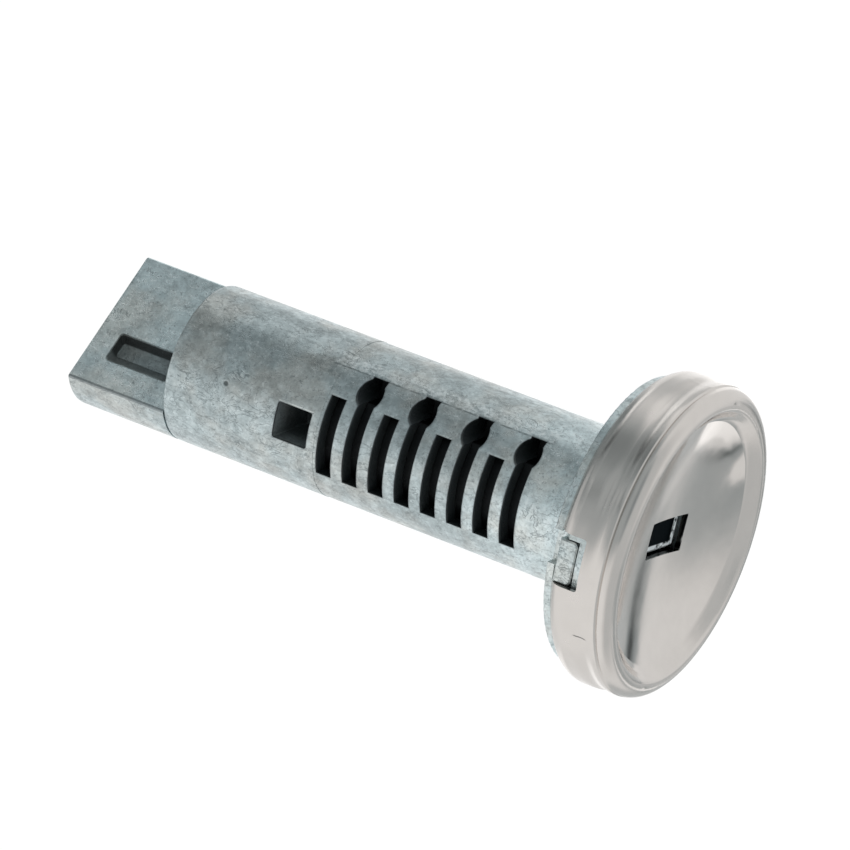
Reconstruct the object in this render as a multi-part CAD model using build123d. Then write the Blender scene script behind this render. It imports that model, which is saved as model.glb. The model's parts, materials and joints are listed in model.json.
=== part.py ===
"""Ignition lock cylinder: a slotted zinc plug with a drawn steel face cap.

Frame: the origin is on the plug's axis, on the back face of the flange, which seats on the
lock housing. +X runs along the axis to the face, and +Z is square to the flat of the tail.
The key, the tumblers and the face slot share a frame of their own, turned about X:
there Z is the way that the tumblers slide, and Y is across the key.
"""
from build123d import *
import os
from math import cos, hypot, radians, sin

# Barrel and tail
barrel_radius = 6.9
barrel_length = 40.6
shoulder_edge = 0.3
front_journal_length = 5.6
relief_depth = 0.03
relief_past_window = 0.3
tail_length = 9.22
tail_flat_height = 2.35
tail_side_reach = 6.2
tail_end_slant = 3.3
tail_edge = 0.2

# Blind pocket in the tail's flat
pocket_end_distance = 2.1
pocket_shoulder_distance = 0.9
pocket_centre_y = -2.55
pocket_width = 2.85
pocket_depth = 1.5
pocket_low_slope = 1.25
pocket_high_slope = 0.35
pocket_corner = 0.3

# Turn of the key and tumbler frame about X
key_turn = 41.8

# Tumblers, and their windows through the barrel
tumbler_count = 8
tumbler_pitch = 2.54
last_window_distance = 6.95
tumbler_thickness = 1.3
tumbler_side_clearance = 0.07
tumbler_width = 6.8
tumbler_reach = 5.5
tumbler_travel = 1.2
tumbler_key_width = 2.9
tumbler_key_height = 6.6
tumbler_corner = 0.3
wing_reach = 5.35
wing_thickness = 1.0
wing_bottom = 1.4
wing_end_clearance = 0.22
wing_stop_clearance = 0.1

# Spring wells, bored beside the windows
well_offset = 4.4
well_radius = 1.15
well_towards_tail = 0.15
well_bottom = -3.2
spring_wire = 0.26
spring_well_clearance = 0.25
spring_seat_gap = 0.04
spring_turns = 3.5
coil_runs_per_turn = 8

# Square hole behind the windows
square_hole_length = 3.32
square_hole_width = 3.2
square_hole_depth = 6.0
square_hole_window_distance = 1.01
square_hole_corner = 0.2

# Keyway
keyway_width = 2.5
keyway_height = 6.4
keyway_past_window = 0.6
keyway_corner = 0.3

# Flange and head of the plug
flange_setback = 0.12
flange_thickness = 0.7
flange_edge = 0.15
head_front = 4.9

# Face cap, drawn from sheet: sizes of its outer skin
cap_wall = 0.5
cap_clearance = 0.05
skirt_radius = 13.62
skirt_curl_depth = 0.9
skirt_curl_run = 0.7
skirt_curl_radius = 1.5
waist_start_height = 3.4
waist_start_round = 3.0
waist_height = 4.2
waist_depth = 0.2
waist_round = 1.5
shoulder_height = 4.9
shoulder_setback = 0.04
shoulder_round = 1.6
rim_setback = 0.12
rim_round = 1.4
face_height = 6.56
rim_width = 1.75
rim_inner_round = 0.55
dish_edge_width = 0.85
dish_edge_height = 5.75
dish_edge_round = 1.5
dish_floor_height = 4.15
rim_groove_height = 5.5
rim_groove_depth = 0.14
rim_groove_width = 0.24

# Key slot in the face cap
slot_length = 6.34
slot_width = 3.25
slot_corner = 0.12
slot_turn = -3.1

# Window in the skirt, which shows the end of the key warning slider
window_width = 4.55
window_front = 3.47
window_corner = 0.25

# Key warning slider in the head
slider_thickness = 1.62
slider_width = 3.72
slider_offset = -0.34
slider_back = 0.93
slider_inner_end = 4.3
slider_recess = 0.67
slider_back_clearance = 0.08
slider_front_gap = 0.1
slider_end_gap = 0.13
slider_corner = 0.45
slider_edge = 0.12
flange_notch_width = 2.9
flange_notch_offset = 0.5
flange_notch_depth = 1.0

# Dust shutter behind the key slot, on a pin that lies in two open saddles
shutter_half_height = 3.6
shutter_reach = 2.05
shutter_thickness = 0.45
shutter_corner = 0.4
shutter_pad_height = 0.4
shutter_pad_margin = 0.05
shutter_pad_corner = 0.5
shutter_pad_edge = 0.35
shutter_face_gap = 0.05
shutter_well_clearance = 0.2
hinge_offset = -2.55
hinge_pin_radius = 0.4
hinge_running_clearance = 0.04
hinge_wall = 0.35
hinge_pin_edge = 0.1
knuckle_start = -1.6
knuckle_end = 3.3
saddle_length = 0.9
saddle_clearance = 0.02
shutter_spring_wire = 0.2
shutter_spring_pitch = 0.26
shutter_spring_clearance = 0.09
shutter_spring_arm = 1.3
shutter_spring_turns = 2
shutter_spring_wall_arm_angle = -90.0
shutter_spring_plate_arm_angle = 34.0

# Sizes that follow, and how far the cutting shapes run past a face
window_length = tumbler_thickness + 2 * tumbler_side_clearance
window_chord = tumbler_width + 2 * tumbler_side_clearance
first_window_distance = last_window_distance + (tumbler_count - 1) * tumbler_pitch
skirt_back_radius = skirt_radius - skirt_curl_depth
rim_radius = skirt_radius - rim_setback
head_radius = skirt_radius - waist_depth - cap_wall - cap_clearance
rim_inner_radius = rim_radius - rim_width
dish_edge_radius = rim_inner_radius - dish_edge_width
flange_radius = skirt_back_radius - flange_setback
flange_notch_radius = flange_radius - flange_notch_depth
slider_outer_end = skirt_radius - slider_recess
keyway_end = -first_window_distance - window_length / 2 - keyway_past_window
knuckle_radius = hinge_pin_radius + hinge_running_clearance + hinge_wall
shutter_top = dish_floor_height - cap_wall - shutter_face_gap
plate_top = shutter_top - shutter_pad_height
plate_bottom = plate_top - shutter_thickness
hinge_height = plate_top - knuckle_radius
shutter_swing = hypot(shutter_reach - hinge_offset, knuckle_radius)
well_back = hinge_height - shutter_swing - shutter_well_clearance
well_low_side = hinge_offset - knuckle_radius - shutter_well_clearance
well_high_side = hinge_offset + shutter_swing + shutter_well_clearance
well_half_height = shutter_half_height + shutter_well_clearance
beyond = 2 * skirt_radius
overrun = 1.0


def block(x_range, y_range, z_range):
    """A box between limits along X, Y and Z."""
    ranges = (x_range, y_range, z_range)
    sizes = [high - low for low, high in ranges]
    centre = [(high + low) / 2 for low, high in ranges]
    return Pos(*centre) * Box(*sizes)


def to_part(piece):
    """Turns a piece from the key's frame into the part's own."""
    return Rot(X=key_turn) * piece


def window_centre(index):
    """Place of one tumbler along the axis, counted from the tail."""
    return -first_window_distance + index * tumbler_pitch


def on_face(piece, index):
    """Neighbouring tumblers have their wells on opposite faces of the barrel."""
    return piece if index % 2 else Rot(X=180) * piece


def turned(section):
    """Revolves a section drawn with X along the axis and Y outwards."""
    return revolve(section, Axis.X, 360)


def rounded(face, point, radius):
    """Rounds the corner of a section at a point and at its mirror image across the axis."""
    corners = []
    for side in (1, -1):
        target = Vector(point[0], side * point[1])
        corners.append(min(face.vertices(), key=lambda corner: (Vector(*corner) - target).length))
    return fillet(corners, radius)


def coil_points(radius, start_angle, end_angle, height):
    """Points along a coil about Z, in short straight runs."""
    runs = round((end_angle - start_angle) * coil_runs_per_turn / 360)
    points = []
    for step in range(runs + 1):
        angle = radians(start_angle + (end_angle - start_angle) * step / runs)
        points.append(Vector(radius * cos(angle), radius * sin(angle), height * step / runs))
    return points


def bent_wire(points, size):
    """Wire of a small square section along straight runs, mitred where they meet."""
    path = Polyline(*points)
    start = Plane(origin=path @ 0, z_dir=path % 0)
    return sweep(start * Rectangle(size, size), path=path, transition=Transition.RIGHT)


def cap_section(inset):
    """Half of the region inside the cap's outer skin, drawn in by an inset.

    The skirt is carried on backwards past its edge, at the radius that it is curled in to.
    """
    curl = (flange_thickness + cap_clearance, skirt_back_radius)
    tail_end = (-barrel_radius, skirt_back_radius)
    bulge = (curl[0] + skirt_curl_run, skirt_radius)
    waist_start = (waist_start_height, skirt_radius)
    waist = (waist_height, skirt_radius - waist_depth)
    shoulder = (shoulder_height, skirt_radius - shoulder_setback)
    rim = (face_height, rim_radius)
    rim_inner = (face_height, rim_inner_radius)
    dish_edge = (dish_edge_height, dish_edge_radius)
    upper = [tail_end, curl, bulge, waist_start, waist, shoulder, rim, rim_inner, dish_edge]
    lower = [(x, -y) for x, y in reversed(upper)]
    dish = ThreePointArc(dish_edge, (dish_floor_height, 0), lower[0])
    face = make_face([Polyline(*upper), dish, Polyline(*lower), Line(lower[-1], upper[0])])
    rounds = {
        bulge: skirt_curl_radius,
        waist_start: waist_start_round,
        waist: waist_round,
        shoulder: shoulder_round,
        rim: rim_round,
        rim_inner: rim_inner_round,
        dish_edge: dish_edge_round,
    }
    for point, radius in rounds.items():
        face = rounded(face, point, radius)
    if inset:
        face = offset(face, amount=-inset)
    return face & Pos(0, beyond / 2) * Rectangle(beyond, beyond)


def past_tail_end(distance):
    """All that lies behind the tail's slanted end, carried forward by a distance."""
    end = Pos(distance - barrel_length - tail_length, 0, 0) * Rot(Z=-tail_end_slant)
    return end * Pos(-beyond / 2, 0, 0) * Box(beyond, 2 * beyond, beyond)


def tail_pocket():
    """The blind pocket: its lower side slopes, and its end lies along the tail's end."""
    low, high = pocket_centre_y - pocket_width / 2, pocket_centre_y + pocket_width / 2
    floor = tail_flat_height - pocket_depth
    section = Polyline(
        (-low, tail_flat_height),
        (-low - pocket_low_slope, floor),
        (-high + pocket_high_slope, floor),
        (-high, tail_flat_height),
        close=True,
    )
    front = -barrel_length - pocket_shoulder_distance
    plane = Plane(origin=(front, 0, 0), x_dir=(0, -1, 0), z_dir=(-1, 0, 0))
    pocket = extrude(plane * make_face(section), tail_length) - past_tail_end(pocket_end_distance)
    sides = pocket.faces().sort_by(Axis.X)[0].edges().sort_by(Axis.Z)[1:-1]
    return fillet(sides, pocket_corner)


def drive_tail():
    """The tongue behind the barrel: its own round with a flat, one side cut back, and a blind pocket."""
    back_plane = Plane(origin=(-barrel_length, 0, 0), x_dir=(0, -1, 0), z_dir=(-1, 0, 0))
    kept = Pos(0, tail_flat_height - beyond / 2) * Rectangle(beyond, beyond)
    tail = extrude(back_plane * (Circle(barrel_radius) & kept), 2 * tail_length) - past_tail_end(0)
    tail = fillet(tail.faces().sort_by(Axis.X)[0].edges(), tail_edge)
    tail -= Pos(-barrel_length, tail_side_reach + beyond / 2, 0) * Box(2 * beyond, beyond, beyond)
    flat = tail.faces().filter_by(Axis.Z).sort_by(Axis.Z)[-1]
    tail = fillet(flat.edges().filter_by(Axis.X), tail_edge)
    return tail - tail_pocket()


def barrel_and_flange():
    """The turned form of the casting from the shoulder to the flange.

    The stretch with the windows is relieved a little between the two journals.
    """
    relief_end = -first_window_distance - window_length / 2 - relief_past_window
    relief_radius = barrel_radius - relief_depth
    outline = Polyline(
        (-barrel_length, 0),
        (-barrel_length, barrel_radius),
        (relief_end, barrel_radius),
        (relief_end, relief_radius),
        (-front_journal_length, relief_radius),
        (-front_journal_length, barrel_radius),
        (0, barrel_radius),
        (0, flange_radius),
        (flange_thickness, flange_radius),
        (flange_thickness, 0),
        close=True,
    )
    section = make_face(outline)
    edges = {shoulder_edge: (-barrel_length, barrel_radius), flange_edge: (0, flange_radius)}
    for radius, point in edges.items():
        corner = min(section.vertices(), key=lambda v: (Vector(*v) - Vector(*point)).length)
        section = fillet(corner, radius)
    return turned(section)


def plug_head():
    """The head inside the cap, which seats in the skirt's waist and is cut flat behind the rim."""
    section = cap_section(cap_wall + cap_clearance)
    kept = Pos((flange_thickness + head_front) / 2, head_radius / 2)
    kept *= Rectangle(head_front - flange_thickness, head_radius)
    return turned(section & kept)


def tumbler_cuts(index):
    """The window of one tumbler right through the barrel, its wing slot and its spring well."""
    centre = window_centre(index)
    length = (centre - window_length / 2, centre + window_length / 2)
    through = barrel_radius + overrun
    window = block(length, (-window_chord / 2, window_chord / 2), (-through, through))
    wing_floor = wing_bottom - tumbler_travel - wing_stop_clearance
    wing_slot = block(length, (0, wing_reach + wing_end_clearance), (wing_floor, barrel_radius))
    well_height = barrel_radius - well_bottom
    well = Pos(centre - well_towards_tail, well_offset, well_bottom + well_height / 2)
    well *= Cylinder(well_radius, well_height)
    return [window, on_face(wing_slot, index), on_face(well, index)]


def keyway():
    outline = RectangleRounded(keyway_height, keyway_width, keyway_corner)
    plane = Plane(origin=(keyway_end, 0, 0), x_dir=(0, 0, 1), z_dir=(1, 0, 0))
    return extrude(plane * outline, head_front - keyway_end)


def square_hole():
    """A blind square hole between the windows and the rear journal."""
    front = -first_window_distance - window_length / 2 - square_hole_window_distance
    plane = Plane(origin=(front - square_hole_length / 2, 0, barrel_radius), z_dir=(0, 0, -1))
    outline = RectangleRounded(square_hole_length, square_hole_width, square_hole_corner)
    return extrude(plane * outline, square_hole_depth) + extrude(plane * outline, -overrun)


def shutter_well():
    """The hollow that the shutter swings into, with the two saddles for its pin."""
    front = head_front + overrun
    well = block((well_back, front), (well_low_side, well_high_side), (-well_half_height, well_half_height))
    reach = well_half_height + saddle_length
    radius = hinge_pin_radius + saddle_clearance
    saddles = Pos(hinge_height, hinge_offset, 0) * Cylinder(radius, 2 * reach)
    mouth = block((hinge_height, front), (hinge_offset - radius, hinge_offset + radius), (-reach, reach))
    return [well, saddles, mouth]


def slider_cuts():
    """The slot of the key warning slider and the notch that bares its back in the flange."""
    low = slider_offset - slider_width / 2 - slider_end_gap
    high = slider_offset + slider_width / 2 + slider_front_gap
    back = slider_back - slider_back_clearance
    front = slider_back + slider_thickness + slider_front_gap
    slot = block((back, front), (low, high), (0, beyond))
    notch_low = flange_notch_offset - flange_notch_width / 2
    notch_high = flange_notch_offset + flange_notch_width / 2
    notch = block((-overrun, slider_back), (notch_low, notch_high), (flange_notch_radius, beyond))
    return [slot, notch]


def plug_body():
    """The whole zinc casting."""
    tail = Rot(X=-key_turn) * drive_tail()
    body = barrel_and_flange() + plug_head() + tail
    cuts = [keyway(), square_hole()] + shutter_well() + slider_cuts()
    for index in range(tumbler_count):
        cuts += tumbler_cuts(index)
    return body - cuts


def face_cap():
    """The drawn cap with its key slot and the window in its skirt."""
    back = flange_thickness + cap_clearance
    kept = Pos(back + beyond / 2, beyond / 2) * Rectangle(beyond, beyond)
    section = (cap_section(0) & kept) - cap_section(cap_wall)
    groove_floor = rim_radius - rim_groove_depth
    groove = make_face(
        Polyline(
            (rim_groove_height, groove_floor),
            (rim_groove_height - rim_groove_width, groove_floor + 2 * rim_groove_depth),
            (rim_groove_height + rim_groove_width, groove_floor + 2 * rim_groove_depth),
            close=True,
        )
    )
    section -= groove
    cap = turned(section)
    slot_plane = Plane(origin=(0, 0, 0), x_dir=(0, 0, 1), z_dir=(1, 0, 0))
    slot_outline = Rot(Z=slot_turn) * RectangleRounded(slot_length, slot_width, slot_corner)
    slot = extrude(slot_plane * slot_outline, face_height)
    window_outline = RectangleRounded(2 * window_front, window_width, window_corner)
    return cap - [slot, extrude(window_outline, beyond)]


def warning_slider():
    """The flat slider whose outer end shows in the window of the skirt."""
    low = slider_offset - slider_width / 2
    high = slider_offset + slider_width / 2
    front = slider_back + slider_thickness
    slider = block((slider_back, front), (low, high), (slider_inner_end, slider_outer_end))
    upright = slider.edges().filter_by(Axis.Z).group_by(Axis.X)[-1]
    slider = fillet(upright, slider_corner)
    outer = slider.faces().sort_by(Axis.Z)[-1]
    return chamfer(outer.edges(), slider_edge)


def dust_shutter():
    """A plate with a raised pad behind the key slot and a rolled knuckle at one long side."""
    height = (-shutter_half_height, shutter_half_height)
    plate = block((plate_bottom, plate_top), (hinge_offset, shutter_reach), height)
    free_corners = plate.edges().filter_by(Axis.X).group_by(Axis.Y)[-1]
    plate = fillet(free_corners, shutter_corner)
    pad_plane = Plane(origin=(plate_top, 0, 0), x_dir=(0, 0, 1), z_dir=(1, 0, 0))
    pad_length = slot_length - 2 * shutter_pad_margin
    pad_width = slot_width - 2 * shutter_pad_margin
    pad_outline = Rot(Z=slot_turn) * RectangleRounded(pad_length, pad_width, shutter_pad_corner)
    pad = extrude(pad_plane * pad_outline, shutter_pad_height)
    pad = chamfer(pad.faces().sort_by(Axis.X)[-1].edges(), shutter_pad_edge)
    knuckle_middle = (knuckle_start + knuckle_end) / 2
    hinge = Pos(hinge_height, hinge_offset, knuckle_middle)
    knuckle = hinge * Cylinder(knuckle_radius, knuckle_end - knuckle_start)
    bore = hinge * Cylinder(hinge_pin_radius + hinge_running_clearance, 2 * beyond)
    ends = []
    for low, high in ((-beyond, knuckle_start), (knuckle_end, beyond)):
        ends.append(block((0, beyond), (-beyond, hinge_offset + knuckle_radius), (low, high)))
    return plate + pad + knuckle - bore - ends


def shutter_pin():
    length = 2 * (well_half_height + saddle_length - saddle_clearance)
    pin = Pos(hinge_height, hinge_offset, 0) * Cylinder(hinge_pin_radius, length)
    return chamfer(pin.edges(), hinge_pin_edge)


def shutter_spring():
    """A torsion spring round the pin: one arm lies under the plate, the other on the well."""
    radius = hinge_pin_radius + shutter_spring_clearance + shutter_spring_wire / 2
    start_angle = shutter_spring_wall_arm_angle
    end_angle = shutter_spring_plate_arm_angle + 360 * shutter_spring_turns
    height = shutter_spring_pitch * (end_angle - start_angle) / 360
    points = coil_points(radius, start_angle, end_angle, height)
    wall_arm = Vector(0, -1, 0).rotate(Axis.Z, start_angle) * shutter_spring_arm
    plate_arm = Vector(0, 1, 0).rotate(Axis.Z, end_angle) * shutter_spring_arm
    points = [points[0] + wall_arm] + points + [points[-1] + plate_arm]
    middle = (knuckle_start - well_half_height) / 2
    place = Pos(hinge_height, hinge_offset, middle - height / 2)
    return place * bent_wire(points, shutter_spring_wire)


def tumbler(index):
    """One tumbler: a plate with a key window, rounded ends and a wing over its spring."""
    centre = window_centre(index)
    plane = Plane(origin=(centre - tumbler_thickness / 2, 0, 0), x_dir=(0, 1, 0), z_dir=(1, 0, 0))
    outline = Circle(tumbler_reach) & Rectangle(tumbler_width, 2 * tumbler_reach)
    outline = fillet(outline.vertices(), tumbler_corner)
    wing = Pos(wing_reach / 2, wing_bottom + wing_thickness / 2) * Rectangle(wing_reach, wing_thickness)
    outline += wing
    outline -= Rectangle(tumbler_key_width, tumbler_key_height)
    return on_face(extrude(plane * outline, tumbler_thickness), index)


def tumbler_spring(index):
    """The spring of one tumbler, from the floor of its well to the tumbler's wing."""
    radius = well_radius - spring_well_clearance - spring_wire / 2
    height = wing_bottom - well_bottom - spring_wire - 2 * spring_seat_gap
    spring = bent_wire(coil_points(radius, 0, 360 * spring_turns, height), spring_wire)
    seat = well_bottom + spring_wire / 2 + spring_seat_gap
    return on_face(Pos(window_centre(index) - well_towards_tail, well_offset, seat) * spring, index)


def main():
    pieces = {
        "plug_body": plug_body(),
        "face_cap": face_cap(),
        "warning_slider": warning_slider(),
        "dust_shutter": dust_shutter(),
        "shutter_pin": shutter_pin(),
        "shutter_spring": shutter_spring(),
    }
    for index in range(tumbler_count):
        pieces[f"tumbler_{index + 1}"] = tumbler(index)
        pieces[f"tumbler_spring_{index + 1}"] = tumbler_spring(index)
    os.makedirs("parts", exist_ok=True)
    for name, piece in pieces.items():
        export_step(to_part(piece), f"parts/{name}.step")


if __name__ == "__main__":
    main()
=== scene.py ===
"""Looks of the ignition lock cylinder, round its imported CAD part. Lengths are in metres."""
import json
import math
from collections import namedtuple
from types import SimpleNamespace

import bpy
from mathutils import Matrix, Vector


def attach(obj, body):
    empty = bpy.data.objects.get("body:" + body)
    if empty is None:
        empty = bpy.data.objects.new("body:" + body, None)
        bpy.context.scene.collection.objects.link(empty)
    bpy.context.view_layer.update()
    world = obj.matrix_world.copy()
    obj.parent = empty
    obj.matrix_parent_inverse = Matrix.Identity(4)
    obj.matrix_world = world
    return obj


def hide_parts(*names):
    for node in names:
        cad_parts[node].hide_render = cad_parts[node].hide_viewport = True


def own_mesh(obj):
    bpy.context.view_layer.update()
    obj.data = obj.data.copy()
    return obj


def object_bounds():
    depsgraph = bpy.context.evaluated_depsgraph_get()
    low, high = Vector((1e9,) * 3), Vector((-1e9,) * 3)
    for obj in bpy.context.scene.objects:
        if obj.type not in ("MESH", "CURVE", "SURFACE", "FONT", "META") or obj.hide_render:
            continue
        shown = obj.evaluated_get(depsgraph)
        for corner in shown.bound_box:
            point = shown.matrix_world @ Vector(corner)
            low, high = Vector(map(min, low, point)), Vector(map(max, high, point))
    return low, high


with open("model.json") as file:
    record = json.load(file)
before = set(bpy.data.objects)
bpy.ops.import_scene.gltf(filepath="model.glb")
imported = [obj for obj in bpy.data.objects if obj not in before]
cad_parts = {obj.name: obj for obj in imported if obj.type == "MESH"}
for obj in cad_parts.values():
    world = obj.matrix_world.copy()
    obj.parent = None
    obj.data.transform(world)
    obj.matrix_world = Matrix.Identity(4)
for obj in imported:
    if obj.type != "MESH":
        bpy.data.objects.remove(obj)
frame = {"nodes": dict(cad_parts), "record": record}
cad_low, cad_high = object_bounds()

MM = 0.001
soft = 0.1 * MM  # usual width of a soft edge between two looks

# Directions: the axis, across the key's blade, and along the slide of the tumblers
along_axis = Vector((1.0, 0.0, 0.0))
across_key = Vector((0.0, 0.74548, 0.66653))
tumbler_slide = Vector((0.0, -0.66653, 0.74548))

# The barrel, from the tail's shoulder to the back of the flange
barrel_radius = 6.9 * MM
shoulder_x, shoulder_gap = -40.6 * MM, 0.2 * MM
flange_back_x, flange_gap = 0.0 * MM, 0.4 * MM
# Painted light on the barrel, which grows paler and frostier towards the head
head_light_start_x, head_light_full_x = -15 * MM, -3 * MM
field_tail_x, field_head_x = -26.6 * MM, -5.7 * MM
pit_middle, pit_radius, pit_inner_radius = Vector((-34.93, -3.45, 5.97)) * MM, 0.3 * MM, 0.12 * MM

# The tail and its pocket
tail_flat_z = 2.35 * MM
# Where painted shade runs along the tail's long edge
tail_edge_y, tail_edge_z, tail_edge_reach, tail_edge_core = -6.46 * MM, 2.33 * MM, 0.26 * MM, 0.12 * MM
pocket_start_x, pocket_end_x = -41.2 * MM, -48.2 * MM
pocket_low_y, pocket_high_y = -4.2 * MM, -0.9 * MM
pocket_floor_z, pocket_slope_end_y = 0.85 * MM, -2.75 * MM
# Painted shade in the pocket, eased by painted light on its slope and floor
pocket_wall_shade, pocket_floor_light, pocket_slope_light = 0.95, 0.69, 0.3

# Openings in the barrel
tumbler_count, tumbler_pitch = 8, 2.54 * MM
last_window_x = -6.95 * MM
window_half_length, window_half_chord = 0.72 * MM, 3.47 * MM
wing_slot_end = 5.57 * MM
well_offset, well_radius, well_towards_tail, well_floor = 4.4 * MM, 1.15 * MM, 0.15 * MM, 3.2 * MM
square_hole_x, square_hole_half_length, square_hole_half_width = -28.12 * MM, 1.66 * MM, 1.6 * MM
# Painted shade in the square hole: its reach along the axis, and the depths over which it lightens towards
# the mouth
square_shade_tailwards, square_shade_headwards = 2.0 * MM, 1.8 * MM
square_deep_radius, square_mouth_radius, square_deep_light = 3.6 * MM, 6.2 * MM, 0.35

# Springs of the tumblers
spring_turns, spring_wire = 3.5, 0.26 * MM
spring_radius, spring_height, spring_seat_gap = 0.77 * MM, 4.26 * MM, 0.04 * MM

# The cap. Where a look sets in over a stretch, its start and its full value have a name each
dish_floor_x, dish_curve = 4.15 * MM, 0.01347 / MM
draw_marks_along, draw_marks_round = 4 / MM, 6  # per metre, and per radian round the axis
dish_start_radius, dish_full_radius = 11.6 * MM, 10.8 * MM
dish_start_x, dish_full_x = 3.2 * MM, 3.6 * MM
rim_start_x, rim_full_x = 4.8 * MM, 5.3 * MM
skirt_start_radius, skirt_full_radius = 12.3 * MM, 12.9 * MM
slot_start_radius, slot_full_radius = 5.5 * MM, 5.0 * MM
slot_start_depth, slot_full_depth = 0.04 * MM, 0.14 * MM
nick_middle, nick_across = Vector((4.0, -12.78, 4.7)) * MM, Vector((0.137, 0.345, 0.9385))
nick_start_x, nick_end_x, nick_taper = 3.6 * MM, 4.35 * MM, 0.3 * MM
nick_half_width, nick_core_width = 0.09 * MM, 0.02 * MM
nick_start_y, nick_full_y = -5 * MM, -6 * MM

# The shutter's pad behind the key slot
slot_turn = math.radians(3.1)
pad_half_length, pad_half_width = 3.12 * MM, 1.57 * MM
pad_start_x, pad_full_x = 2.6 * MM, 2.8 * MM
# Painted highlight along two sides of the pad
highlight_side_width, highlight_end_width, highlight_soft_edge = 0.85 * MM, 0.65 * MM, 0.12 * MM


# Node materials

class Graph:
    """A node tree, with short calls to add nodes and join them."""

    def __init__(self, tree):
        self.tree = tree

    def put(self, socket, value):
        if isinstance(value, bpy.types.NodeSocket):
            self.tree.links.new(value, socket)
        else:
            socket.default_value = value

    def node(self, kind, inputs=None, **settings):
        made = self.tree.nodes.new(kind)
        for name, value in settings.items():
            setattr(made, name, value)
        for name, value in (inputs or {}).items():
            self.put(made.inputs[name], value)
        return made

    def math(self, operation, *values):
        made = self.node("ShaderNodeMath", operation=operation)
        for socket, value in zip(made.inputs, values):
            self.put(socket, value)
        return made.outputs[0]

    def chain(self, operation, first, *others):
        for other in others:
            first = self.math(operation, first, other)
        return first

    def add(self, *values):
        return self.chain("ADD", *values)

    def product(self, *values):
        return self.chain("MULTIPLY", *values)

    def most(self, *values):
        return self.chain("MAXIMUM", *values)

    def least(self, *values):
        return self.chain("MINIMUM", *values)

    def minus(self, value, other):
        return self.math("SUBTRACT", value, other)

    def magnitude(self, value):
        return self.math("ABSOLUTE", value)

    def whole(self, value, last):
        """The nearest whole number from 0 to the last."""
        return self.least(self.most(self.math("ROUND", value), 0.0), last)

    def hypotenuse(self, one_side, other_side):
        squares = self.add(self.product(one_side, one_side), self.product(other_side, other_side))
        return self.math("SQRT", squares)

    def dot(self, vector, direction):
        made = self.node("ShaderNodeVectorMath", {0: vector, 1: direction}, operation="DOT_PRODUCT")
        return made.outputs["Value"]

    def distance(self, point, other):
        made = self.node("ShaderNodeVectorMath", {0: point, 1: other}, operation="DISTANCE")
        return made.outputs["Value"]

    def smooth(self, value, start, full):
        """0 at the start, 1 at the full value and a smooth step between."""
        made = self.node("ShaderNodeMapRange", {"Value": value, "From Min": start, "From Max": full},
                         interpolation_type="SMOOTHSTEP")
        return made.outputs["Result"]

    def within(self, value, low, high, edge):
        """1 between two limits, with a step of the given width outside each."""
        return self.product(self.smooth(value, low - edge, low), self.smooth(value, high + edge, high))

    def mix(self, factor, first, second):
        made = self.node("ShaderNodeMix", {0: factor, 6: first, 7: second}, data_type="RGBA")
        return made.outputs[2]

    def over(self, under, mask, strength, tint):
        """A colour with a tint laid over it where the mask is, no more than the strength."""
        return self.mix(self.product(mask, strength), under, tint)

    def toned(self, tint, factor):
        """A colour, as three numbers or a socket, times a factor."""
        made = self.node("ShaderNodeVectorMath", {0: tint, "Scale": factor}, operation="SCALE")
        return made.outputs[0]

    def noise(self, vector, scale, detail=3.0, roughness=0.55, distortion=0.0):
        """Noise with so many cells per metre."""
        made = self.node("ShaderNodeTexNoise", {"Vector": vector, "Scale": scale, "Detail": detail,
                                                "Roughness": roughness, "Distortion": distortion})
        return made.outputs[0]

    def bump(self, height, distance, under=None):
        made = self.node("ShaderNodeBump", {"Height": height, "Distance": distance})
        if under is not None:
            self.put(made.inputs["Normal"], under)
        return made.outputs[0]

    def place(self):
        """The point in the part's frame, which rides with its body, and its place about the axis."""
        point = self.node("ShaderNodeTexCoord").outputs["Object"]
        x, y, z = self.node("ShaderNodeSeparateXYZ", {0: point}).outputs
        return SimpleNamespace(point=point, x=x, y=y, z=z, radius=self.hypotenuse(y, z),
                               across=self.dot(point, across_key), slide=self.dot(point, tumbler_slide))


def colour(red, green, blue):
    return (red, green, blue, 1.0)


def new_material(name, **constants):
    """A material with a Principled shader, and its graph. Constants go on the shader's own sockets."""
    material = bpy.data.materials.new(name)
    material.use_nodes = True
    shader = material.node_tree.nodes["Principled BSDF"]
    for socket, value in constants.items():
        shader.inputs[socket.replace("_", " ")].default_value = value
    return material, Graph(material.node_tree), shader


def past_mouths(graph, at):
    """How far a point of the barrel lies outside the nearest window, wing slot, well or square hole."""
    step = graph.math("DIVIDE", graph.minus(last_window_x, at.x), tumbler_pitch)
    window_off = graph.minus(step, graph.whole(step, tumbler_count - 1))
    along_off = graph.product(graph.magnitude(window_off), tumbler_pitch)
    window = graph.most(graph.minus(along_off, window_half_length),
                        graph.minus(graph.magnitude(at.across), window_half_chord))
    # Wells and wing slots alternate: on the far side they belong to the other windows, turned half round
    behind = graph.math("LESS_THAN", at.slide, 0.0)
    side = graph.product(at.across, graph.minus(1.0, graph.product(behind, 2.0)))
    pair = graph.minus(graph.product(step, 0.5), graph.product(behind, 0.5))
    last_pair = tumbler_count / 2 - 1
    pair_off = graph.product(graph.minus(pair, graph.whole(pair, last_pair)), 2 * tumbler_pitch)
    wing = graph.most(graph.minus(graph.magnitude(pair_off), window_half_length),
                      graph.minus(side, wing_slot_end), graph.product(side, -1.0))
    from_well = graph.hypotenuse(graph.minus(pair_off, well_towards_tail), graph.minus(side, well_offset))
    well = graph.minus(from_well, well_radius)
    hole_along = graph.magnitude(graph.minus(at.x, square_hole_x))
    square = graph.most(graph.minus(hole_along, square_hole_half_length),
                        graph.minus(graph.magnitude(at.across), square_hole_half_width),
                        graph.product(at.slide, -1.0))
    return graph.least(window, wing, well, square)


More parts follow.
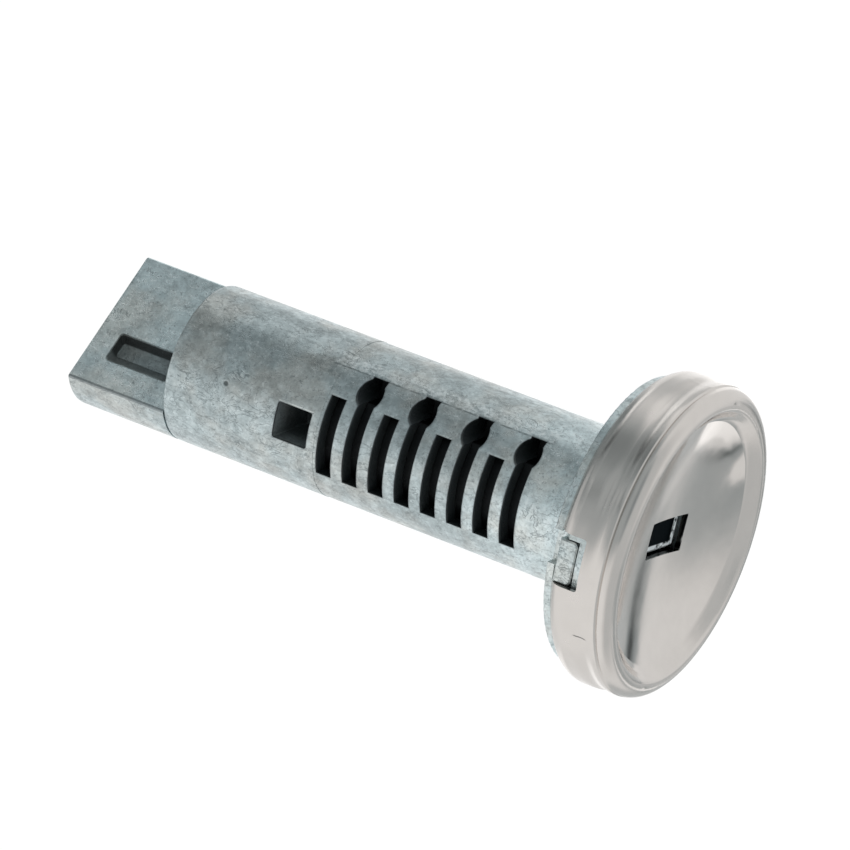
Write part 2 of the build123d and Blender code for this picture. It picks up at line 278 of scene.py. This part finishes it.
def barrel_hollows(graph, at):
    """How much painted shade a point in the barrel's openings gets, less towards the mouth of the square
    hole, and where those openings are."""
    in_barrel = graph.within(at.x, shoulder_x + shoulder_gap, flange_back_x + flange_gap, soft)
    below = graph.smooth(at.radius, barrel_radius - 0.05 * MM, barrel_radius - 0.4 * MM)
    inside = graph.product(in_barrel, below)
    in_square = graph.within(at.x, square_hole_x - square_shade_tailwards,
                             square_hole_x + square_shade_headwards, soft / 2)
    towards_mouth = graph.smooth(at.radius, square_deep_radius, square_mouth_radius)
    square_light = graph.add(graph.product(towards_mouth, 1.0 - square_deep_light), square_deep_light)
    return graph.product(inside, graph.minus(1.0, graph.product(in_square, square_light))), inside


def pocket_hollow(graph, at):
    """How much painted shade a point in the tail's pocket gets, less on its slope and least on its floor,
    and where the pocket is."""
    inside = graph.product(
        graph.smooth(at.x, pocket_start_x + soft, pocket_start_x - soft),
        graph.smooth(at.x, pocket_end_x - soft, pocket_end_x + soft),
        graph.smooth(at.z, tail_flat_z - 0.05 * MM, tail_flat_z - 0.3 * MM),
        graph.within(at.y, pocket_low_y, pocket_high_y, soft))
    on_floor = graph.smooth(at.z, pocket_floor_z + 0.25 * MM, pocket_floor_z + 0.02 * MM)
    on_slope = graph.smooth(at.y, pocket_slope_end_y + 0.1 * MM, pocket_slope_end_y - 0.3 * MM)
    light = graph.most(graph.product(on_floor, pocket_floor_light),
                       graph.product(on_slope, pocket_slope_light))
    return graph.product(inside, graph.minus(pocket_wall_shade, light)), inside


def streaks(graph, point, scale, stretch, width, turn=0.0):
    """Fine wandering lines: where a stretched noise crosses its middle value."""
    mapped = graph.node("ShaderNodeMapping", {"Vector": point, "Scale": stretch, "Rotation": (turn, 0, 0)})
    field = graph.noise(mapped.outputs[0], scale, 4.0, 0.62, 0.6)
    return graph.smooth(graph.magnitude(graph.minus(field, 0.5)), width, 0.0)


def cast_noise(graph, point):
    """Mottling of four sizes, and fine lines left by the metal's flow."""
    fresh = graph.smooth(graph.noise(point, 300, 2), 0.44, 0.60)
    flow = graph.product(streaks(graph, point, 330, (1.0, 1.6, 1.0), 0.012), fresh)
    fine = graph.product(streaks(graph, point, 720, (0.7, 1.5, 1.2), 0.016, 0.9), 0.7)
    return SimpleNamespace(cloud=graph.noise(point, 420, 4, 0.65), blotch=graph.noise(point, 1100, 3, 0.6),
                           grain=graph.noise(point, 2700, 3, 0.7), speck=graph.noise(point, 5600, 2, 0.6),
                           line=graph.most(flow, fine))


def behind_shoulder(graph, at):
    return graph.smooth(at.x, shoulder_x + soft, shoulder_x - soft)


def mottled_colour(graph, at, noise):
    """Cool and warm grey with frost, flecks, pores and flow lines. Painted light makes it paler and
    frostier towards the head, and so on the slider and the flange, and paler on the tail's flat, which
    faces up."""
    patches = graph.smooth(graph.noise(at.point, 190, 3, 0.6), 0.42, 0.68)
    body = graph.mix(patches, colour(0.452, 0.524, 0.536), colour(0.50, 0.53, 0.515))
    tone = 1.0
    mottling = ((noise.cloud, 0.8), (noise.blotch, 0.75), (noise.grain, 0.65), (noise.speck, 0.35))
    for field, amount in mottling:
        tone = graph.add(graph.product(graph.minus(field, 0.5), amount), tone)
    lit_headwards = graph.smooth(at.x, head_light_start_x, head_light_full_x)
    lit_flat = graph.product(behind_shoulder(graph, at),
                            graph.smooth(at.z, tail_flat_z - 0.3 * MM, tail_flat_z - 0.05 * MM))
    # Painted light, towards the head and on the tail's flat
    for paler, amount in ((lit_headwards, 0.36), (lit_flat, 0.62)):
        tone = graph.product(tone, graph.add(graph.product(paler, amount), 1.0))
    body = graph.toned(body, tone)
    # Frost at random, with more of it towards the head as painted light
    frost = graph.product(graph.smooth(noise.blotch, 0.52, 0.66),
                          graph.add(graph.product(lit_headwards, 0.35), 0.2))
    flecks = graph.smooth(noise.grain, 0.60, 0.70)
    pores = graph.smooth(graph.noise(at.point, 3300, 2, 0.6), 0.38, 0.30)
    body = graph.mix(frost, body, colour(0.72, 0.79, 0.80))
    body = graph.over(body, flecks, 0.35, colour(0.80, 0.85, 0.85))
    body = graph.over(body, pores, 0.45, colour(0.17, 0.20, 0.21))
    return graph.over(body, noise.line, 0.55, colour(0.13, 0.16, 0.17))


def field_marks(graph, at, noise, body):
    """The field round the windows, a little lower than the round beyond the wells, with painted shade in a
    crease and a pale ridge along its edge."""
    along_field = graph.product(graph.within(at.x, field_tail_x, field_head_x, 0.25 * MM),
                                graph.math("GREATER_THAN", at.slide, 0.0))
    edge = wing_slot_end
    field = graph.product(along_field, graph.smooth(at.across, edge + 0.05 * MM, edge - 0.08 * MM))
    crease = graph.product(along_field, graph.within(at.across, edge - 0.03 * MM, edge, 0.06 * MM))
    ridge = graph.product(along_field, graph.within(at.across, edge + 0.1 * MM, edge + 0.5 * MM, 0.3 * MM))
    broken_ridge = graph.product(ridge, graph.smooth(noise.grain, 0.42, 0.6))
    crease_painted_shade = graph.product(crease, graph.smooth(noise.blotch, 0.38, 0.6))
    body = graph.over(body, broken_ridge, 0.45, colour(0.78, 0.83, 0.83))
    # Painted shade along the crease
    return graph.over(body, crease_painted_shade, 0.5, colour(0.10, 0.12, 0.12)), field


def small_marks(graph, at, outside, body):
    """A dark band at the lip of each opening, a dark pit behind the square hole and painted shade along
    the tail's long edge.
    """
    on_barrel = graph.within(at.x, shoulder_x + shoulder_gap, flange_back_x - flange_gap, soft)
    lip = graph.product(on_barrel, graph.within(outside, 0.0, 0.02 * MM, 0.07 * MM))
    pit = graph.smooth(graph.distance(at.point, pit_middle), pit_radius, pit_inner_radius)
    edge_off = graph.hypotenuse(graph.minus(at.y, tail_edge_y), graph.minus(at.z, tail_edge_z))
    tail_edge_shade = graph.product(graph.smooth(edge_off, tail_edge_reach, tail_edge_core),
                            behind_shoulder(graph, at))
    body = graph.over(body, lip, 0.5, colour(0.12, 0.14, 0.15))
    body = graph.over(body, pit, 0.75, colour(0.05, 0.06, 0.06))
    # Painted shade along the tail's long edge
    return graph.over(body, tail_edge_shade, 0.75, colour(0.16, 0.18, 0.19)), pit


def zinc():
    """Passivated zinc casting: pale blue-green grey, frosted and mottled, with painted shade in its
    hollows.
    """
    material, graph, shader = new_material("zinc_casting", Roughness=0.34)
    at = graph.place()
    noise = cast_noise(graph, at.point)
    outside = past_mouths(graph, at)
    body, field = field_marks(graph, at, noise, mottled_colour(graph, at, noise))
    body, pit = small_marks(graph, at, outside, body)
    barrel_shade, in_openings = barrel_hollows(graph, at)
    pocket_shade, in_pocket = pocket_hollow(graph, at)
    # Painted shade: near-black colours laid into the barrel's openings and the tail's pocket
    dark = graph.mix(in_pocket, colour(0.05, 0.06, 0.063), colour(0.018, 0.02, 0.02))
    graph.put(shader.inputs["Base Color"], graph.mix(graph.most(barrel_shade, pocket_shade), body, dark))
    hollow = graph.most(in_openings, in_pocket)
    graph.put(shader.inputs["Metallic"], graph.add(graph.product(hollow, -0.6), 0.85))
    # Rounded mouths and the lower field, then the cast grain on top
    rounded = graph.smooth(outside, -0.02 * MM, 0.16 * MM)
    edges = graph.bump(graph.minus(rounded, graph.product(field, 0.5)), 0.05 * MM)
    height = graph.add(graph.product(noise.grain, 0.5), noise.cloud, graph.product(noise.blotch, 0.5))
    height = graph.minus(height, graph.add(noise.line, graph.product(pit, 3.0)))
    graph.put(shader.inputs["Normal"], graph.bump(height, 0.02 * MM, edges))
    return material


def stainless():
    """The drawn cap: satin skirt, brighter rim and a mirror-like dish, a little wavy as drawn sheet is."""
    material, graph, shader = new_material("stainless_cap", Metallic=1.0)
    at = graph.place()
    haze = graph.noise(at.point, 600, 3, 0.6)
    body = graph.toned((0.66, 0.63, 0.60), graph.add(graph.product(haze, 0.1), 0.95))
    # Painted shade on the walls of the key slot, below the dish's own face
    dish_face_x = graph.add(graph.product(at.radius, at.radius, dish_curve), dish_floor_x)
    sunk = graph.smooth(graph.minus(at.x, dish_face_x), -slot_start_depth, -slot_full_depth)
    slot_wall_shade = graph.product(sunk, graph.smooth(at.radius, slot_start_radius, slot_full_radius))
    body = graph.mix(slot_wall_shade, body, colour(0.02, 0.02, 0.018))
    # A nick in the skirt, along the axis
    off = graph.magnitude(graph.minus(graph.dot(at.point, nick_across), nick_middle.dot(nick_across)))
    nick = graph.product(graph.smooth(off, nick_half_width, nick_core_width),
                         graph.smooth(at.y, nick_start_y, nick_full_y),
                         graph.within(at.x, nick_start_x, nick_end_x, nick_taper))
    graph.put(shader.inputs["Base Color"], graph.over(body, nick, 0.75, colour(0.08, 0.08, 0.08)))
    in_dish = graph.product(graph.smooth(at.radius, dish_start_radius, dish_full_radius),
                            graph.smooth(at.x, dish_start_x, dish_full_x))
    on_rim = graph.smooth(at.x, rim_start_x, rim_full_x)
    rough = graph.add(0.24, graph.product(haze, 0.05), graph.product(on_rim, -0.07),
                      graph.product(in_dish, -0.12))
    graph.put(shader.inputs["Roughness"], rough)
    # Broad waves, and faint marks of the draw round the skirt
    wave = graph.noise(at.point, 230, 2, 0.5)
    angle = graph.math("ARCTAN2", at.z, at.y)
    ring = graph.node("ShaderNodeCombineXYZ", {0: graph.product(at.x, draw_marks_along),
                                               1: graph.product(angle, draw_marks_round)})
    drawn = graph.product(graph.noise(ring.outputs[0], 1.0, 2, 0.6),
                          graph.smooth(at.radius, skirt_start_radius, skirt_full_radius))
    height = graph.add(wave, graph.product(drawn, 0.05), graph.product(nick, -1.0))
    graph.put(shader.inputs["Normal"], graph.bump(height, 0.03 * MM))
    return material


def dark_steel():
    """Blackened shutter, with a painted highlight along two sides of its pad, on their rounded edges."""
    material, graph, shader = new_material("dark_steel", Specular_Tint=colour(0.5, 0.5, 0.5))
    at = graph.place()
    cosine, sine = math.cos(slot_turn), math.sin(slot_turn)
    along = graph.add(graph.product(at.slide, cosine), graph.product(at.across, sine))
    across = graph.add(graph.product(at.across, cosine), graph.product(at.slide, -sine))
    side_start, end_start = -pad_half_length, -pad_half_width
    side = graph.product(graph.within(along, side_start, side_start + highlight_side_width, highlight_soft_edge),
                         graph.within(across, -pad_half_width, pad_half_width, soft))
    end = graph.product(graph.within(across, end_start, end_start + highlight_end_width, highlight_soft_edge),
                        graph.within(along, -pad_half_length, pad_half_length, soft))
    patchy = graph.smooth(graph.noise(at.point, 1500, 3, 0.6), 0.32, 0.5)
    # Painted highlight: pale, not metallic and rougher, in patches along two sides of the pad
    edge_highlight = graph.product(graph.most(side, end), patchy, graph.smooth(at.x, pad_start_x, pad_full_x))
    body = graph.mix(edge_highlight, colour(0.006, 0.009, 0.011), colour(0.80, 0.86, 0.87))
    graph.put(shader.inputs["Base Color"], body)
    graph.put(shader.inputs["Metallic"], graph.minus(1.0, edge_highlight))
    graph.put(shader.inputs["Roughness"], graph.add(graph.product(edge_highlight, 0.3), 0.3))
    scuff = graph.noise(at.point, 3000, 3, 0.6)
    graph.put(shader.inputs["Normal"], graph.bump(scuff, 0.01 * MM))
    return material


def plain_steel(name, tint, roughness):
    """A small steel piece with a faint grain: dark steel, made darker still as painted shade."""
    material, graph, shader = new_material(name, Metallic=1.0, Roughness=roughness)
    at = graph.place()
    grain = graph.noise(at.point, 2500, 3, 0.6)
    graph.put(shader.inputs["Base Color"], graph.toned(tint, graph.add(graph.product(grain, 0.8), 0.6)))
    graph.put(shader.inputs["Normal"], graph.bump(grain, 0.01 * MM))
    return material


makers = {
    "zinc_casting": zinc,
    "stainless_cap": stainless,
    "dark_steel": dark_steel,
    # Tumblers and springs are near black as painted shade, so the openings in front of them show dark
    "tumbler_steel": lambda: plain_steel("tumbler_steel", (0.02, 0.022, 0.023), 0.45),
    "spring_steel": lambda: plain_steel("spring_steel", (0.05, 0.05, 0.05), 0.35),
}
materials = {slot: make() for slot, make in makers.items()}
slot_of = {entry["node"]: entry["material_slot"] for entry in frame["record"]["subparts"]}
for name, node in frame["nodes"].items():
    node.data.materials.clear()
    node.data.materials.append(materials[slot_of[name]])


# Springs of round wire in place of the square ones, which flatten as their tumblers slide

def coil_mesh(name, foot, rise, across, steps=56, sides=8):
    """A helix of round wire from a point on its axis, rising along one direction."""
    vertices, faces = [], []
    for step in range(steps + 1):
        angle = 2 * math.pi * spring_turns * step / steps
        outwards = along_axis * math.cos(angle) + across * math.sin(angle)
        middle = foot + outwards * spring_radius + rise * (spring_height * step / steps)
        for side in range(sides):
            around = 2 * math.pi * side / sides
            offset = outwards * math.cos(around) + rise * math.sin(around)
            vertices.append(middle + offset * (spring_wire / 2))
    for step in range(steps):
        for side in range(sides):
            first, second = step * sides + side, step * sides + (side + 1) % sides
            faces.append((first, second, second + sides, first + sides))
    faces.append(tuple(reversed(range(sides))))
    faces.append(tuple(range(steps * sides, (steps + 1) * sides)))
    mesh = bpy.data.meshes.new(name)
    mesh.from_pydata(vertices, [], faces)
    mesh.shade_smooth()
    return mesh


def build_spring(number):
    """The spring of one tumbler. Tumblers count from the tail, and every other one is turned over."""
    turned_over = -1.0 if number % 2 else 1.0
    rise, across = tumbler_slide * turned_over, across_key * turned_over
    window_x = last_window_x - (tumbler_count - number) * tumbler_pitch
    floor_middle = Vector((window_x - well_towards_tail, 0, 0)) + across * well_offset - rise * well_floor
    foot = floor_middle + rise * (spring_seat_gap + spring_wire / 2)
    name, node_name = f"round_spring_{number}", f"tumbler_spring_{number}"
    coil = bpy.data.objects.new(name, coil_mesh(name, foot, rise, across))
    bpy.context.scene.collection.objects.link(coil)
    coil.data.materials.append(materials["spring_steel"])
    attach(coil, "plug")
    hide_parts(node_name)
    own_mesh(coil)


for number in range(1, tumbler_count + 1):
    build_spring(number)


# Light: a white room whose brightness changes with direction

room_glow, room_least = 0.89, 0.02
# Azimuth from +X towards +Y, elevation, turn, half length and half width are in degrees. The soft
# edge is a share of these halves, and the change is one of the room's brightness
Card = namedtuple("Card", "azimuth elevation turn half_length half_width edge change")
cards = [
    Card(-130, 87, 30, 54, 30, 1.6, -0.42),  # dark ceiling
    Card(110, 59, -10, 20, 46, 0.3, 0.40),  # bright window, high on the +Y side
    Card(-7, -3, -43, 20, 40, 1.8, -0.24),  # dark side, straight ahead of the face
    Card(129, 12, 67, 15, 5, 0.3, 0.85),  # narrow lamp, behind on the +Y side
    Card(123, -35, -7, 9, 27, 0.3, 0.34),  # bright strip below the lamp
    Card(15, -56, -73, 10, 6, 2.0, -0.42),  # dark spot below the face
    Card(20, -66, -46, 12, 2.5, 0.3, 0.66),  # thin bright strip below the face
    Card(57, -58, 77, 4, 2, 2.0, -0.50),  # small dark spot below, on the +Y side
    Card(77, -60, 23, 9, 10, 0.3, -0.32),  # dark card beside that spot
    Card(155, 37, -35, 12, 30, 0.4, 0.50),  # bright card above the tail
    Card(140, 18, -47, 64, 29, 2.0, -0.28),  # broad dark side behind the tail
    Card(130, -56, -33, 40, 3.3, 1.5, 0.38),  # long thin bright strip below the tail
    Card(154, 0, -79, 43, 14.5, 0.3, -0.36),  # upright dark card behind the tail
    Card(56, -90, -30, 12, 21, 0.3, -0.30),  # dark card straight below
    Card(137, 60, -87, 46, 23, 0.6, -0.36),  # broad dark card high above the tail
    Card(-107, -3, -13, 58, 33, 0.6, 0.10),  # faintly brighter -Y side
    Card(22, -63, -46, 7, 0.9, 0.8, -0.30),  # dark line along the thin strip below the face
    Card(5, -49, -46, 4, 2.5, 0.6, 0.42),  # small bright spot beside that strip
]


def card_mask(graph, toward, card):
    """1 inside a card, seen in a direction, and 0 past its soft edge. The card is an ellipse on the
    plane that stands square to its own direction."""
    azimuth, elevation, turn = (math.radians(value) for value in (card.azimuth, card.elevation, card.turn))
    right = Vector((-math.sin(azimuth), math.cos(azimuth), 0.0))
    centre = Vector((math.cos(elevation) * math.cos(azimuth), math.cos(elevation) * math.sin(azimuth),
                     math.sin(elevation)))
    up = centre.cross(right)
    along = right * math.cos(turn) + up * math.sin(turn)
    across = up * math.cos(turn) - right * math.sin(turn)
    reach = graph.hypotenuse(graph.dot(toward, along / math.tan(math.radians(card.half_length))),
                             graph.dot(toward, across / math.tan(math.radians(card.half_width))))
    ahead = graph.most(graph.dot(toward, centre), 0.001)
    return graph.smooth(graph.math("DIVIDE", reach, ahead), 1.0 + card.edge, 1.0)


def build_room():
    """The world: the room for the object's light and reflections, and plain white for the camera."""
    world = bpy.data.worlds.new("room")
    bpy.context.scene.world = world
    world.use_nodes = True
    graph = Graph(world.node_tree)
    world.node_tree.nodes.clear()
    toward = graph.node("ShaderNodeTexCoord").outputs["Generated"]
    level = room_glow
    for card in cards:
        level = graph.add(graph.product(card_mask(graph, toward, card), card.change), level)
    level = graph.most(level, room_least)
    tint = graph.mix(graph.smooth(level, 0.25, 0.85), colour(0.90, 1.0, 1.03), colour(1, 1, 1))
    room = graph.node("ShaderNodeBackground", {"Color": tint, "Strength": level})
    white = graph.node("ShaderNodeBackground", {"Color": colour(1, 1, 1), "Strength": 1.0})
    seen = graph.node("ShaderNodeLightPath").outputs["Is Camera Ray"]
    joined = graph.node("ShaderNodeMixShader", {0: seen, 1: room.outputs[0], 2: white.outputs[0]})
    out = graph.node("ShaderNodeOutputWorld")
    graph.put(out.inputs["Surface"], joined.outputs[0])


floor_half_size, floor_drop = 0.5, 0.1 * MM
floor_tone, floor_glow = 0.12, 0.97


def build_floor():
    """A pale floor under the cap, which shows white and keeps a faint soft shadow."""
    mesh = bpy.data.meshes.new("floor")
    half, z = floor_half_size, cad_low[2] - floor_drop
    corners = [(-half, -half, z), (half, -half, z), (half, half, z), (-half, half, z)]
    mesh.from_pydata(corners, [], [(0, 1, 2, 3)])
    floor = bpy.data.objects.new("floor", mesh)
    bpy.context.scene.collection.objects.link(floor)
    material = bpy.data.materials.new("floor")
    material.use_nodes = True
    graph = Graph(material.node_tree)
    material.node_tree.nodes.clear()
    shadow = graph.node("ShaderNodeBsdfDiffuse", {"Color": colour(floor_tone, floor_tone, floor_tone)})
    glow = graph.node("ShaderNodeEmission", {"Color": colour(1, 1, 1), "Strength": floor_glow})
    lit = graph.node("ShaderNodeAddShader", {0: shadow.outputs[0], 1: glow.outputs[0]})
    clear = graph.node("ShaderNodeBsdfTransparent")
    seen = graph.node("ShaderNodeLightPath").outputs["Is Camera Ray"]
    joined = graph.node("ShaderNodeMixShader", {0: seen, 1: clear.outputs[0], 2: lit.outputs[0]})
    out = graph.node("ShaderNodeOutputMaterial")
    graph.put(out.inputs["Surface"], joined.outputs[0])
    mesh.materials.append(material)


build_room()
build_floor()


# Camera, from the perspective of the photo. Its lens and sensor are in millimetres

camera_place = Vector((260.32, -224.79, 573.09)) * MM
camera_right = Vector((0.851096, 0.472132, -0.229623))
camera_down = Vector((0.322859, -0.815565, -0.480225))
camera_ahead = Vector((-0.414002, 0.334582, -0.846556))
camera = bpy.data.objects.new("camera", bpy.data.cameras.new("camera"))
bpy.context.scene.collection.objects.link(camera)
axes = Matrix((camera_right, -camera_down, -camera_ahead)).transposed().to_4x4()
camera.matrix_world = Matrix.Translation(camera_place) @ axes
camera.data.sensor_width = 36.0
camera.data.lens = 344.1
camera.data.clip_start, camera.data.clip_end = 0.05, 5.0
bpy.context.scene.camera = camera
bpy.context.scene.view_settings.view_transform = "Standard"
